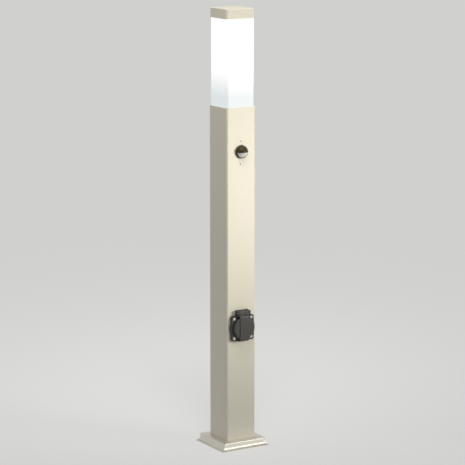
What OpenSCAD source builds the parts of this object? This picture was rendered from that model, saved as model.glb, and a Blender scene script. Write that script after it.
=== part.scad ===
// Square bollard light with a motion sensor and a flush socket, in millimetres, +Z up.
// The origin lies on the ground at the post's axis, and the front face looks along -Y.

/* [Post] */
// Outside width of the square post
post_w = 65; // [60:1:90]
// Wall of the post's tube
post_wall = 1.5; // [1:0.1:2.5]
// Outside radius of the post's upright corners
post_r = 4; // [3:0.5:6]
// Height of the post's top edge above the ground
post_top_z = 668; // [640:5:900]

/* [Foot] */
// Thickness of the base plate
base_plate_t = 4; // [3:0.5:6]
// How far the base plate reaches past each face of the post
plate_margin = 12.5; // [11:0.5:20]
// Distance of the anchor holes from the post's faces
anchor_out = 6.5; // [5.5:0.5:7]
// Diameter of the anchor holes
anchor_d = 7; // [5:0.5:9]
// Diameter of the cable hole in the base plate
cable_hole_d = 20; // [14:1:22]
// Leg of the weld round the foot of the post
weld_leg = 2.5; // [1.5:0.5:3]

/* [Base cover] */
// Height of the base cover
cover_h = 15.6; // [12:0.2:24]
// Wall of the base cover
cover_wall = 1.2; // [0.8:0.1:2]
// Gap between the base plate's edge and the cover
cover_gap = 1.05; // [0.5:0.05:2]
// Clearance of the cover's opening round the post
cover_play = 0.4; // [0.3:0.05:1]
// How far the rim flares out past the cover's wall
flare = 5.25; // [3:0.25:8]
// Thickness of the flared rim at its edge
rim_t = 1.25; // [0.6:0.05:2]
// Radius of the cover's upright corners
cover_r = 4; // [2:0.5:6]
// Radius of the cover's top edge
cover_edge_r = 2; // [0.5:0.25:3]

/* [Light head] */
// Height of the diffuser that shows between post and cap
diffuser_h = 168.4; // [140:5:260]
// Wall of the diffuser
diffuser_wall = 2.5; // [1.5:0.25:4]
// Outside radius of the diffuser's corners
diffuser_r = 3.75; // [3:0.25:5]
// Clearance of the diffuser in the post
diffuser_play = 0.45; // [0.2:0.05:0.8]
// How deep the diffuser stands in the post
diffuser_seat = 24.5; // [20:0.5:40]
// Height of the top cap
cap_h = 18.7; // [12:0.1:30]
// Wall of the top cap
cap_wall = 0.9; // [0.7:0.1:2]
// Clearance of the cap round the diffuser
cap_play = 0.15; // [0.1:0.05:0.4]
// Radius of the cap's top edge
cap_edge_r = 1.25; // [0.5:0.25:2]
// Thickness of the seals under and over the diffuser
head_seal_t = 2; // [1:0.25:3]
// Sheet thickness of the lamp bracket
bracket_t = 1.5; // [1:0.25:3]
// Clearance of the bracket's plate in the post
bracket_play = 0.3; // [0.2:0.05:0.6]
// Distance between the two head screws
head_screw_pitch = 30; // [16:1:36]
// Height of the head screws under the post's top edge
head_screw_drop = 12; // [8:0.5:14]

/* [Lamp] */
// Height of the lampholder
holder_h = 42; // [38:1:55]
// Outside radius of the lampholder
holder_r = 17.5; // [16.5:0.25:19]
// Outside radius of the lamp's screw cap
lamp_cap_r = 13.2; // [12.8:0.1:13.4]
// Height of the lamp's screw cap
lamp_cap_h = 25; // [22:0.5:27]
// Radius of the lamp's globe
globe_r = 22.5; // [18:0.5:24]
// Height of the lamp from its tip to its top
lamp_h = 78; // [70:1:110]

/* [Motion sensor] */
// Height of the sensor's eye above the ground
sensor_z = 583; // [560:1:600]
// Radius of the sensor's eye
eye_r = 11.5; // [9:0.5:13]
// How far the eye's centre lies in front of the post's face
eye_out = 1; // [0:0.25:2]
// Clearance round the eye and the swivel cup
eye_play = 0.3; // [0.3:0.05:0.5]
// Wall of the rain hood
hood_t = 1; // [0.8:0.1:2]
// How far the ring round the eye stands out from the post
hood_ring_out = 4.2; // [3:0.2:5]
// Wall of the swivel cup
swivel_t = 1.6; // [1:0.1:2]
// Largest turn of the sensor's eye to each side
pan_limit = 25; // [15:1:30]
// Distance of the sensor's screws from the eye's centre
sensor_screw_out = 22.5; // [21:0.5:28]

/* [Socket] */
// Height of the socket's centre above the ground
socket_z = 239.5; // [180:0.5:400]
// Width of the socket's square flange
flange_w = 50; // [48:0.5:52]
// Corner radius of the flange
flange_r = 5; // [3:0.5:6]
// Thickness of the flange
flange_t = 5.5; // [4:0.25:7]
// Diameter of the round collar that shows at the flange's sides
collar_d = 54; // [52:0.5:56]
// Pitch of the flange's four screws
screw_pitch = 38; // [37:0.5:40]
// Thickness of the flange's gasket
gasket_t = 1; // [0.5:0.25:2]
// Radius of the plug recess
recess_r = 19.75; // [19:0.25:20]
// Depth of the plug recess from the sealing rim
recess_depth = 17.5; // [14:0.5:20]
// Wall of the socket's cup
cup_wall = 1.75; // [1.25:0.25:2]
// How far the sealing rim stands out from the flange
rim_out = 1.5; // [1:0.25:2]
// Thickness of the recess floor
floor_t = 4; // [3:0.25:6]
// Distance of each pin hole from the socket's centre
pin_out = 9.5; // [8:0.25:11]
// Radius of the pin holes
pin_hole_r = 2.5; // [2:0.1:2.75]
// Depth of the contact carrier behind the recess floor
back_h = 17; // [15:0.5:20]
// Radius of the socket's clearance hole past the cup
cutout_play = 0.5; // [0.25:0.25:1]

/* [Lid] */
// Outside radius of the lid
lid_r = 22.75; // [22.5:0.05:23]
// Gap between the flange and the lid's skirt
lid_gap = 0.4; // [0.3:0.05:0.8]
// Height of the lid over its skirt's edge
lid_h = 6.1; // [5:0.1:8]
// Wall of the lid
lid_wall = 2; // [1.5:0.25:2.5]
// Width of the raised band down the middle of the lid
band_w = 20.6; // [16:0.2:22]
// How far the band stands out from the lid
band_out = 3; // [1:0.25:4]
// How far the grip tab reaches below the socket's centre
tab_reach = 25.4; // [24:0.2:28]
// Height of the hinge's axis above the socket's centre
hinge_y = 30.8; // [30.5:0.1:33]
// Distance of the hinge's axis from the post's face
hinge_out = 8.5; // [8:0.1:9.5]
// Width of the hinge block
hinge_w = 27; // [25:0.5:30]
// Thickness of each hinge ear
ear_t = 2.9; // [2:0.1:4]
// Radius of the hinge pin
pin_r = 1.25; // [1:0.05:1.5]
// Full turns of the lid's spring, before its last three quarters
spring_turns = 6; // [4:1:7]
// Radius of the spring's wire
spring_wire_r = 0.4; // [0.3:0.05:0.45]

/* [Fasteners and wires] */
// Radius of the socket screws' shanks
screw_r = 1.65; // [1.5:0.05:1.8]
// Radius of the domed screw heads
head_r = 3.2; // [2.8:0.1:3.4]
// Height of the domed screw heads
head_h = 1.9; // [1.4:0.1:2.4]
// Radius of the small screws' shanks inside
small_screw_r = 1.45; // [1.2:0.05:1.5]
// Clearance of a screw in the hole that it passes
hole_play = 0.25; // [0.1:0.05:0.4]
// Radius of a single insulated wire
wire_r = 1.3; // [1:0.1:1.5]
// Radius of the sheathed leads to sensor and lamp
lead_r = 2.4; // [2:0.1:3]

/* [Hidden] */
$fn = 64;
eps = 0.01;

// Post and foot
post_in_w = post_w - 2 * post_wall;
post_in_r = post_r - post_wall;
base_plate_w = post_w + 2 * plate_margin;
base_plate_r = 5;
anchor_pitch = post_w + 2 * anchor_out;
cover_in_w = base_plate_w + 2 * cover_gap;
cover_w = cover_in_w + 2 * cover_wall;
rim_w = cover_w + 2 * flare;
grommet_lip_r = cable_hole_d / 2 + 2.5;
grommet_lip_t = 2;
grommet_wall = 2;
cable_bore_r = cable_hole_d / 2 - grommet_wall;

// Light head
diffuser_w = post_in_w - 2 * diffuser_play;
diffuser_in_w = diffuser_w - 2 * diffuser_wall;
diffuser_bottom_z = post_top_z - diffuser_seat;
cap_bottom_z = post_top_z + diffuser_h;
cap_top_z = cap_bottom_z + cap_h;
diffuser_top_z = cap_top_z - cap_wall - head_seal_t;
cap_w = diffuser_w + 2 * (cap_play + cap_wall);
cap_r = diffuser_r + cap_play + cap_wall;
bracket_top_z = diffuser_bottom_z - head_seal_t;
head_screw_z = post_top_z - head_screw_drop;
bracket_face_y = diffuser_in_w / 2 - 0.2;
bracket_tongue_w = head_screw_pitch + 14;
bracket_tongue_h = diffuser_seat + head_seal_t - 4;
lead_hole_r = lead_r + 0.6;
lead_pocket_h = 7;

// Lamp
holder_thread_h = 28;
holder_floor_h = holder_h - holder_thread_h;
holder_wall = 3.2;
holder_flange_r = holder_r + 2.5;
holder_flange_h = 5;
shell_t = 0.6;
shell_r = holder_r - holder_wall;
contact_h = 5;
lamp_tip_z = bracket_top_z + holder_floor_h + contact_h;
lamp_screw_x = 8.5;

// Motion sensor, measured outwards from the post's face
hood_in_r = eye_r + eye_play;
hood_r = hood_in_r + hood_t;
sensor_hole_r = hood_r + 0.3;
hood_flange_r = hood_r + 2.7;
hood_flange_t = 1.2;
hood_edge_y = -0.5;
lens_t = 0.9;
ball_wall = 1.2;
lens_seam_out = eye_out + 1.5;
swivel_in_r = eye_r + eye_play;
swivel_r = swivel_in_r + swivel_t;
seat_r = swivel_r + eye_play;
housing_front_out = -post_wall - hood_flange_t;
swivel_edge_angle = acos((eye_out - housing_front_out + 2 * eye_play) / swivel_r) - pan_limit;
swivel_edge_out = eye_out - swivel_r * cos(swivel_edge_angle);
housing_r = seat_r + 3.2;
housing_back_out = eye_out - seat_r - 3;
seat_mouth_out = eye_out - 6;
lead_exit_r = lead_r + 0.8;
ear_r = 5;
ear_depth = 5;
board_t = 1.2;
board_out = eye_out - 2.5;
pyro_r = 4.2;
pyro_h = 3.6;

// Socket, measured outwards from the post's face
flange_out = gasket_t + flange_t;
sealing_out = flange_out + rim_out;
floor_out = sealing_out - recess_depth;
cup_back_out = floor_out - floor_t;
cup_r = recess_r + cup_wall;
cutout_r = cup_r + cutout_play;
back_out = cup_back_out - back_h;
rim_wall = cup_wall - 0.3;
insert_r = recess_r - 0.1;
rib_w = 5;
rib_reach = 2.2;
clip_w = 5;
clip_t = 0.8;
clip_y = recess_r - 0.5;
clip_bulge = 2.6;
clip_top_out = floor_out + 13;
insert_head_r = 2.8;
insert_head_h = 1.4;
sleeve_grip = 0.2;
sleeve_r = pin_hole_r - sleeve_grip;
sleeve_wall = 0.7;
sleeve_h = 9;
clamp_w = 7;
clamp_h = back_h - sleeve_h - 3;
earth_clamp_y = -12;
wire_up = 1.7;
clamp_screw_down = 1.8;
clamp_screw_r = 1.4;
nut_r = 3.4;
nut_t = 2.8;
shank_back_out = -post_wall - nut_t - 1.2;

// Lid, measured outwards from the post's face
lid_base_out = flange_out + lid_gap;
lid_front_out = lid_base_out + lid_h;
band_front_out = lid_front_out + band_out;
lid_edge_r = 3;
skirt_in_r = cup_r - 0.3 + 0.35;
seal_out = sealing_out + 0.3;
seal_in_r = recess_r - 1;
knuckle_reach = 4.5;
barrel_r = 4.2;
ear_gap = 0.3;
knuckle_w = hinge_w - 2 * (ear_t + ear_gap);
hinge_top_y = hinge_y + knuckle_reach;
hinge_front_out = hinge_out + knuckle_reach;
web_t = 1.8;
spring_slot_w = 10;
spring_slot_r = 3.4;
spring_r = 2.3;
spring_half = spring_slot_w / 2 - spring_wire_r - 0.4;
neck_back_out = lid_base_out + 1.9;
groove_top_y = hinge_y - knuckle_reach + 0.3;
groove_w = 1.6;
groove_out = hinge_front_out - 1.6;

// Terminal block at the foot
block_w = post_in_w - 2;
block_d = 15;
block_h = 20;
block_gap = 0.5;
block_y = grommet_lip_r + block_gap + block_d / 2;
pole_pitch = 12;
pole_hole_r = wire_r + 0.7;
pole_hole_depth = 6;
block_base_h = block_h - 4;
block_screw_x = pole_pitch + 7.3;
lead_entry_x = block_w / 2 - lead_r - 2.1;
lead_entry_depth = 3;
block_top_z = base_plate_t + block_h;

// Wires, by points chosen by hand from the terminal block upwards
socket_back_y = -post_w / 2 - back_out;
sensor_back_y = -post_w / 2 - housing_back_out;
wire_x = [-pole_pitch, 0, pole_pitch];
clamp_at = [[-pin_out, 0], [0, earth_clamp_y], [pin_out, 0]];
wire_start_z = block_top_z - pole_hole_depth;
lead_start_z = base_plate_t + block_base_h - lead_entry_depth;
wall_run_y = post_in_w / 2 - 9;
wall_run_x = post_in_w / 2 - 6.5;

// Points of a lead up a rear corner of the post, at shares of a height
function corner_run(side, height, shares) = [for (s = shares) [side * wall_run_x, wall_run_y, height * s]];

function unit(v) = v / norm(v);

// Directions along a list of points, one for each point
function headings(path) = [for (i = [0 : len(path) - 1])
    unit(path[min(i + 1, len(path) - 1)] - path[max(i - 1, 0)])];

// Points of a smooth curve through the listed points, some steps between each two
function smooth(p, steps) = concat([for (i = [0 : len(p) - 2], s = [0 : steps - 1])
    let (t = s / steps, a = p[max(i - 1, 0)], b = p[i], c = p[i + 1], d = p[min(i + 2, len(p) - 1)])
    0.5 * (2 * b + (c - a) * t + (2 * a - 5 * b + 4 * c - d) * t * t
        + (3 * b - a - 3 * c + d) * t * t * t)], [p[len(p) - 1]]);

// Least distance between points of a path that lie at least skip points apart
function least_gap(path, skip) = min([for (i = [0 : len(path) - 1 - skip], j = [i + skip : len(path) - 1])
    norm(path[i] - path[j])]);

// A round wire along a path that never runs along X
module wire_along(path, r, sides) {
    dirs = headings(path);
    rings = len(path);
    points = [for (i = [0 : rings - 1], k = [0 : sides - 1])
        let (u = unit([1, 0, 0] - dirs[i][0] * dirs[i]), v = cross(dirs[i], u), a = 360 * k / sides)
        path[i] + r * (cos(a) * u + sin(a) * v)];
    walls = [for (i = [0 : rings - 2], k = [0 : sides - 1], half = [0, 1])
        let (n = (k + 1) % sides, a = i * sides, b = (i + 1) * sides)
        half == 0 ? [a + n, a + k, b + k] : [b + n, a + n, b + k]];
    start = [for (k = [1 : sides - 2]) [0, k, k + 1]];
    end = [for (k = [1 : sides - 2]) let (e = (rings - 1) * sides) [e, e + k + 1, e + k]];
    polyhedron(points, concat(walls, start, end), convexity = 8);
}

// Square with round corners, flat
module rounded_square(w, r) {
    square([w - 2 * r, w], center = true);
    square([w, w - 2 * r], center = true);
    for (x = [-1, 1], y = [-1, 1]) translate([x * (w / 2 - r), y * (w / 2 - r)]) circle(r);
}

// Upright square bar with round corners between two heights
module square_bar(w, r, z0, z1) {
    translate([0, 0, z0]) linear_extrude(z1 - z0) rounded_square(w, r);
}

// Bar along one axis whose end view is half a side profile and its mirror image
module profile_bar(length) {
    rotate([90, 0, 0]) linear_extrude(length, center = true) {
        children();
        mirror([1, 0]) children();
    }
}

// Places things on the post's front face: X stays, Y is up, Z is outwards
module on_face(z) {
    translate([0, -post_w / 2, z]) rotate([90, 0, 0]) children();
}

// Round bar between two distances from the face
module disc(r, from, to) {
    translate([0, 0, from]) cylinder(r = r, h = to - from);
}

// Box between two distances from the face
module block(w, h, from, to) {
    translate([-w / 2, -h / 2, from]) cube([w, h, to - from]);
}

// Domed screw with a cross recess, its head resting at the height 0
module domed_screw(shank_r, length, r = head_r, h = head_h) {
    dome_r = (r * r + h * h) / (2 * h);
    slot = r * 0.28;
    difference() {
        union() {
            translate([0, 0, -length]) cylinder(r = shank_r, h = length + eps);
            intersection() {
                translate([0, 0, h - dome_r]) sphere(dome_r);
                cylinder(r = r + 1, h = h + 1);
            }
        }
        for (a = [0, 90]) rotate(a)
            translate([-r * 0.6, -slot / 2, h - 0.8]) cube([r * 1.2, slot, 2]);
    }
}

// Places things at the flange's four screws
module at_flange_screws() {
    for (x = [-1, 1], y = [-1, 1]) translate([x * screw_pitch / 2, y * screw_pitch / 2, 0]) children();
}

module base_plate() {
    color([0.62, 0.62, 0.6]) difference() {
        union() {
            square_bar(base_plate_w, base_plate_r, 0, base_plate_t);
            intersection() {
                for (turn = [0, 90]) rotate(turn) translate([0, 0, base_plate_t])
                    profile_bar(base_plate_w) polygon([[0, -eps], [post_w / 2 + weld_leg, -eps],
                        [post_w / 2 + weld_leg, 0], [post_w / 2, weld_leg], [0, weld_leg]]);
                square_bar(post_w + 2 * weld_leg, post_r + weld_leg, 0, base_plate_t + weld_leg);
            }
        }
        square_bar(post_w, post_r, base_plate_t, base_plate_t + 2 * weld_leg);
        translate([0, 0, -1]) cylinder(d = cable_hole_d, h = base_plate_t + 2);
        for (x = [-1, 1], y = [-1, 1]) translate([x * anchor_pitch / 2, y * anchor_pitch / 2, -1])
            cylinder(d = anchor_d, h = base_plate_t + 2);
    }
}

module cable_grommet() {
    color([0.12, 0.12, 0.12]) difference() {
        union() {
            cylinder(d = cable_hole_d, h = base_plate_t);
            translate([0, 0, base_plate_t]) cylinder(r = grommet_lip_r, h = grommet_lip_t);
        }
        translate([0, 0, -1]) cylinder(r = cable_bore_r, h = base_plate_t + grommet_lip_t + 2);
    }
}

module post_tube() {
    color([0.8, 0.79, 0.73]) difference() {
        square_bar(post_w, post_r, base_plate_t, post_top_z);
        square_bar(post_in_w, post_in_r, base_plate_t - 1, post_top_z + 1);
        on_face(socket_z) {
            disc(cutout_r, -post_wall - 2, 2);
            at_flange_screws() disc(screw_r + hole_play, -post_wall - 2, 2);
        }
        on_face(sensor_z) {
            disc(sensor_hole_r, -post_wall - 2, 2);
            for (y = [-1, 1]) translate([0, y * sensor_screw_out, 0])
                disc(small_screw_r + hole_play, -post_wall - 2, 2);
        }
        at_head_screws() disc(screw_r + hole_play, -post_wall - 1, 1);
    }
}

// Places things at the two head screws in the rear face, with Z outwards
module at_head_screws() {
    for (x = [-1, 1]) translate([x * head_screw_pitch / 2, post_w / 2, head_screw_z])
        rotate([-90, 0, 0]) children();
}

module terminal_block() {
    color([0.86, 0.85, 0.8]) translate([0, block_y, base_plate_t]) difference() {
        union() {
            translate([-block_w / 2, -block_d / 2, 0]) cube([block_w, block_d, block_base_h]);
            for (x = wire_x) translate([x - 4.5, -block_d / 2 + 1, 0]) cube([9, block_d - 2, block_h]);
        }
        for (x = wire_x) {
            translate([x, 2, block_h - pole_hole_depth]) cylinder(r = pole_hole_r, h = pole_hole_depth + 1);
            translate([x, -block_d / 2 - 1, block_h / 2]) rotate([-90, 0, 0]) cylinder(r = 2.4, h = 5);
        }
        for (x = [-1, 1]) {
            translate([x * block_screw_x, 0, -1]) cylinder(r = small_screw_r, h = block_h);
            translate([x * lead_entry_x, 0, block_base_h - lead_entry_depth])
                cylinder(r = lead_r + 0.2, h = block_h);
        }
    }
}

module terminal_screws() {
    color([0.75, 0.7, 0.5]) translate([0, block_y, base_plate_t]) {
        for (x = wire_x) translate([x, -block_d / 2 + 1, block_h / 2]) rotate([-90, 0, 0]) difference() {
            cylinder(r = 2.4, h = 3);
            translate([-3, -0.35, -1]) cube([6, 0.7, 1.8]);
        }
        for (x = [-1, 1]) translate([x * block_screw_x, 0, block_base_h])
            domed_screw(small_screw_r, block_base_h, 2.6, 1.6);
    }
}

module earth_stud() {
    color([0.78, 0.66, 0.3]) translate([-post_in_w / 2 + 10, -post_in_w / 2 + 10, base_plate_t]) {
        cylinder(r = 2.5, h = 16);
        difference() {
            union() {
                cylinder(r = 5.2, h = 1);
                translate([0, 0, 1]) cylinder(r = 4.6, h = 4, $fn = 6);
            }
            translate([0, 0, -1]) cylinder(r = 2.5, h = 8);
        }
    }
}

module sensor_housing() {
    color([0.13, 0.13, 0.12]) on_face(sensor_z) difference() {
        union() {
            disc(housing_r, housing_back_out, housing_front_out);
            for (y = [-1, 1]) difference() {
                union() {
                    translate([0, y * sensor_screw_out, 0]) disc(ear_r, -post_wall - ear_depth, -post_wall);
                    translate([0, y * sensor_screw_out / 2, 0])
                        block(2 * ear_r, sensor_screw_out, -post_wall - ear_depth, -post_wall);
                }
                disc(hood_flange_r + 0.2, housing_front_out, 1);
            }
        }
        translate([0, 0, eye_out]) sphere(seat_r);
        disc(seat_r, seat_mouth_out, eye_out);
        disc(lead_exit_r, housing_back_out - 1, eye_out);
        for (y = [-1, 1]) translate([0, y * sensor_screw_out, 0])
            disc(small_screw_r, -post_wall - ear_depth - 1, 0);
    }
}

module sensor_hood() {
    color([0.23, 0.22, 0.12]) on_face(sensor_z) difference() {
        union() {
            disc(hood_flange_r, housing_front_out, -post_wall);
            disc(hood_r, housing_front_out, eye_out);
            intersection() {
                translate([0, 0, eye_out]) sphere(hood_r);
                disc(hood_r + 1, eye_out, eye_out + hood_r + 1);
            }
        }
        translate([0, 0, eye_out]) sphere(hood_in_r);
        disc(hood_in_r, housing_front_out - 1, eye_out);
        translate([-hood_r - 1, hood_edge_y - 2 * hood_r, hood_ring_out])
            cube([2 * hood_r + 2, 2 * hood_r, 2 * hood_r]);
    }
}

module sensor_screws() {
    color([0.9, 0.89, 0.84]) on_face(sensor_z)
        for (y = [-1, 1]) translate([0, y * sensor_screw_out, 0])
            domed_screw(small_screw_r, post_wall + ear_depth + 1);
}

module sensor_swivel() {
    color([0.2, 0.2, 0.19]) on_face(sensor_z) difference() {
        intersection() {
            translate([0, 0, eye_out]) sphere(swivel_r);
            disc(swivel_r, eye_out - swivel_r - 1, swivel_edge_out);
        }
        translate([0, 0, eye_out]) sphere(swivel_in_r);
        disc(lead_exit_r, eye_out - swivel_r - 2, eye_out);
    }
}

module sensor_ball() {
    color([0.2, 0.19, 0.1]) on_face(sensor_z) difference() {
        intersection() {
            translate([0, 0, eye_out]) sphere(eye_r);
            disc(eye_r + 1, eye_out - eye_r - 1, lens_seam_out);
        }
        translate([0, 0, eye_out]) sphere(eye_r - ball_wall);
        disc(lead_exit_r, eye_out - eye_r - 1, eye_out);
    }
}

module sensor_lens() {
    color([0.93, 0.93, 0.9]) on_face(sensor_z) difference() {
        intersection() {
            translate([0, 0, eye_out]) sphere(eye_r);
            disc(eye_r + 1, lens_seam_out, eye_out + eye_r + 1);
        }
        translate([0, 0, eye_out]) sphere(eye_r - lens_t);
    }
}

module sensor_board() {
    board_r = sqrt(pow(eye_r - ball_wall, 2) - pow(eye_out - board_out, 2)) - 0.2;
    color([0.1, 0.35, 0.2]) on_face(sensor_z) disc(board_r, board_out, board_out + board_t);
}

module pyro_element() {
    color([0.75, 0.74, 0.7]) on_face(sensor_z) disc(pyro_r, board_out + board_t, board_out + board_t + pyro_h);
}

// Outline of the flange and its gasket: a square, the round collar and the hinge's foot
module flange_outline() {
    rounded_square(flange_w, flange_r);
    circle(d = collar_d);
    translate([-hinge_w / 2, 0]) square([hinge_w, hinge_top_y]);
}

module socket_gasket() {
    color([0.1, 0.1, 0.1]) on_face(socket_z) difference() {
        linear_extrude(gasket_t) flange_outline();
        disc(cutout_r, -1, gasket_t + 1);
        at_flange_screws() disc(screw_r + hole_play, -1, gasket_t + 1);
    }
}

// Side view of a hinge ear: X is up from the socket's centre, Y is outwards
module ear_profile() {
    foot_y = hinge_y - knuckle_reach;
    difference() {
        union() {
            translate([foot_y, gasket_t]) square([2 * knuckle_reach, hinge_front_out - gasket_t]);
            polygon([[foot_y - 5, flange_out - 1], [foot_y + 1, flange_out - 1], [foot_y + 1, hinge_front_out],
                [foot_y, hinge_front_out]]);
        }
        translate([hinge_top_y - 1.5, hinge_front_out - 1.5]) difference() {
            square([2, 2]);
            circle(1.5);
        }
    }
}

// Turns a side view, X up and Y outwards, into a plate across the width on the face
module across(x0, x1) {
    translate([x0, 0, 0]) rotate([90, 0, 90]) linear_extrude(x1 - x0) children();
}

module socket_housing() {
    color([0.17, 0.17, 0.17]) on_face(socket_z) difference() {
        union() {
            translate([0, 0, gasket_t]) linear_extrude(flange_t) difference() {
                flange_outline();
                translate([-hinge_w, flange_w / 2]) square([2 * hinge_w, hinge_w]);
            }
            disc(cup_r, cup_back_out, flange_out);
            disc(recess_r + rim_wall, flange_out, sealing_out);
            translate([-hinge_w / 2, flange_w / 2 - 1, gasket_t])
                cube([hinge_w, hinge_top_y - flange_w / 2 + 1, web_t]);
            for (side = [-1, 1]) across(side > 0 ? hinge_w / 2 - ear_t : -hinge_w / 2,
                side > 0 ? hinge_w / 2 : -hinge_w / 2 + ear_t) ear_profile();
        }
        disc(recess_r, cup_back_out - 1, sealing_out + 1);
        at_flange_screws() disc(screw_r + hole_play, 0, flange_out + 1);
        translate([0, hinge_y, hinge_out]) rotate([0, 90, 0])
            cylinder(r = pin_r, h = hinge_w + 2, center = true);
    }
}

module socket_insert() {
    color([0.2, 0.2, 0.2]) on_face(socket_z) difference() {
        union() {
            disc(insert_r, cup_back_out, floor_out);
            for (side = [-1, 1]) intersection() {
                disc(insert_r, floor_out - 1, sealing_out - 2);
                translate([side * insert_r, 0, 0]) block(2 * rib_reach, rib_w, floor_out - 1, sealing_out - 2);
            }
        }
        for (side = [-1, 1]) {
            translate([side * pin_out, 0, 0]) disc(pin_hole_r, cup_back_out - 1, floor_out + 1);
            translate([0, side * clip_y, 0])
                block(clip_w + 0.6, 2 * (clip_t + 0.6), cup_back_out - 1, floor_out + 1);
        }
        disc(small_screw_r, cup_back_out - 1, floor_out + 1);
        disc(insert_head_r + 0.3, floor_out - insert_head_h - 0.2, floor_out + 1);
    }
}

module socket_back() {
    color([0.25, 0.25, 0.24]) on_face(socket_z) difference() {
        disc(cup_r, back_out, cup_back_out);
        for (side = [-1, 1]) translate([side * pin_out, 0, 0])
            block(clamp_w + 0.6, clamp_w + 0.6, back_out + 2, cup_back_out + 1);
        for (p = clamp_at) translate(p) {
            translate([0, wire_up, 0]) disc(wire_r + 0.2, back_out - 1, back_out + 3);
            translate([0, -clamp_screw_down, 0]) disc(clamp_screw_r + 0.1, back_out - 1, back_out + 3);
        }
        translate([0, earth_clamp_y, 0]) block(clamp_w, clamp_w, back_out + 2, cup_back_out + 1);
        block(clip_w + 0.6, 2 * clip_y + 0.4, cup_back_out - clip_t - 0.1, cup_back_out + 1);
        disc(small_screw_r, back_out + 4, cup_back_out + 1);
    }
}

module earth_bow() {
    color([0.78, 0.66, 0.35]) on_face(socket_z) {
        difference() {
            across(-clip_w / 2, clip_w / 2) for (side = [0, 1]) mirror([side, 0]) polygon([
                [-eps, cup_back_out - clip_t], [clip_y, cup_back_out - clip_t], [clip_y, clip_top_out - 7],
                [clip_y - clip_bulge, clip_top_out - 3], [clip_y - 0.6, clip_top_out],
                [clip_y - clip_t - 0.6, clip_top_out], [clip_y - clip_bulge - clip_t, clip_top_out - 3],
                [clip_y - clip_t, clip_top_out - 7], [clip_y - clip_t, cup_back_out], [-eps, cup_back_out]]);
            disc(small_screw_r + hole_play, cup_back_out - 2, cup_back_out + 1);
        }
        translate([0, earth_clamp_y, 0])
            block(clamp_w - 0.6, clamp_w - 0.6, back_out + 2, cup_back_out - clip_t + eps);
    }
}

// One spring contact: a slit sleeve for the pin and a clamp block behind it
module contact() {
    clamp_front_out = back_out + 2 + clamp_h;
    difference() {
        union() {
            disc(sleeve_r + sleeve_wall, clamp_front_out, cup_back_out - 0.2);
            block(clamp_w, clamp_w, back_out + 2, clamp_front_out);
        }
        disc(sleeve_r, clamp_front_out - 1, cup_back_out);
        block(1, 2 * clamp_w, clamp_front_out + 1, cup_back_out);
    }
}

module contact_live() {
    color([0.8, 0.68, 0.38]) on_face(socket_z) translate([pin_out, 0, 0]) contact();
}

module contact_neutral() {
    color([0.8, 0.68, 0.38]) on_face(socket_z) translate([-pin_out, 0, 0]) contact();
}

module insert_screw() {
    color([0.8, 0.79, 0.75]) on_face(socket_z) translate([0, 0, floor_out - insert_head_h - 0.2])
        domed_screw(small_screw_r, floor_t + 6, insert_head_r, insert_head_h);
}

module socket_terminal_screws() {
    color([0.8, 0.79, 0.75]) on_face(socket_z) for (p = clamp_at)
        translate([p[0], p[1] - clamp_screw_down, back_out + 0.4]) difference() {
            cylinder(r = clamp_screw_r, h = 1.6);
            translate([-3, -0.25, -1]) cube([6, 0.5, 1.6]);
        }
}

module socket_screws() {
    color([0.86, 0.85, 0.82]) on_face(socket_z) at_flange_screws() translate([0, 0, flange_out])
        domed_screw(screw_r, flange_out - shank_back_out);
}

module socket_nuts() {
    color([0.7, 0.69, 0.66]) on_face(socket_z) at_flange_screws() difference() {
        translate([0, 0, -post_wall - nut_t]) cylinder(r = nut_r, h = nut_t, $fn = 6);
        disc(screw_r, -post_wall - nut_t - 1, 1);
    }
}

module hinge_pin() {
    color([0.75, 0.74, 0.7]) on_face(socket_z) translate([0, hinge_y, hinge_out]) rotate([0, 90, 0])
        cylinder(r = pin_r, h = hinge_w - 0.4, center = true);
}

// Route of the lid's spring: a leg on the web, the coil round the pin, a leg under the lid's neck
rings_a_turn = 8;
coil_rings = spring_turns * rings_a_turn + 6;
spring_route = concat(
    [for (out = [gasket_t + web_t, (gasket_t + web_t + hinge_out) / 2])
        [-spring_half, hinge_y - spring_r, out]],
    [for (i = [0 : coil_rings]) let (a = 180 - 360 * i / rings_a_turn)
        [-spring_half + 2 * spring_half * i / coil_rings, hinge_y + spring_r * cos(a),
            hinge_out + spring_r * sin(a)]],
    [for (p = [[hinge_y - 2.2, hinge_out - spring_r + 0.1], [hinge_y - 4.6, neck_back_out - 1.5],
            [hinge_y - 6.2, neck_back_out - spring_wire_r - 0.4],
            [hinge_y - 7.4, neck_back_out - spring_wire_r - 0.3]])
        [spring_half, p[0], p[1]]]);
echo(spring_least_self_gap = least_gap(spring_route, rings_a_turn - 2) - 2 * spring_wire_r);

module lid_spring() {
    color([0.7, 0.7, 0.68]) on_face(socket_z) wire_along(spring_route, spring_wire_r, 6);
}

// Side view of the lid's band and knuckle: X is up from the socket's centre, Y is outwards
module lid_side() {
    difference() {
        union() {
            polygon([[-tab_reach, lid_base_out], [-tab_reach, lid_front_out - 2.5],
                [-tab_reach + 1.2, lid_front_out - 1], [-lid_r + 1.5, band_front_out - 0.8],
                [-lid_r + 4.5, band_front_out], [groove_top_y - groove_w - 3, band_front_out],
                [groove_top_y - groove_w, band_front_out - 1.6], [groove_top_y - groove_w, groove_out],
                [groove_top_y, groove_out], [groove_top_y, hinge_front_out], [hinge_top_y, hinge_front_out],
                [hinge_top_y, hinge_out], [groove_top_y, neck_back_out], [0, neck_back_out],
                [-lid_r, lid_base_out]]);
            translate([hinge_y, hinge_out]) circle(barrel_r);
        }
        translate([hinge_top_y - 2.5, hinge_front_out - 2.5]) difference() {
            square([3, 3]);
            circle(2.5);
        }
    }
}

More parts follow.
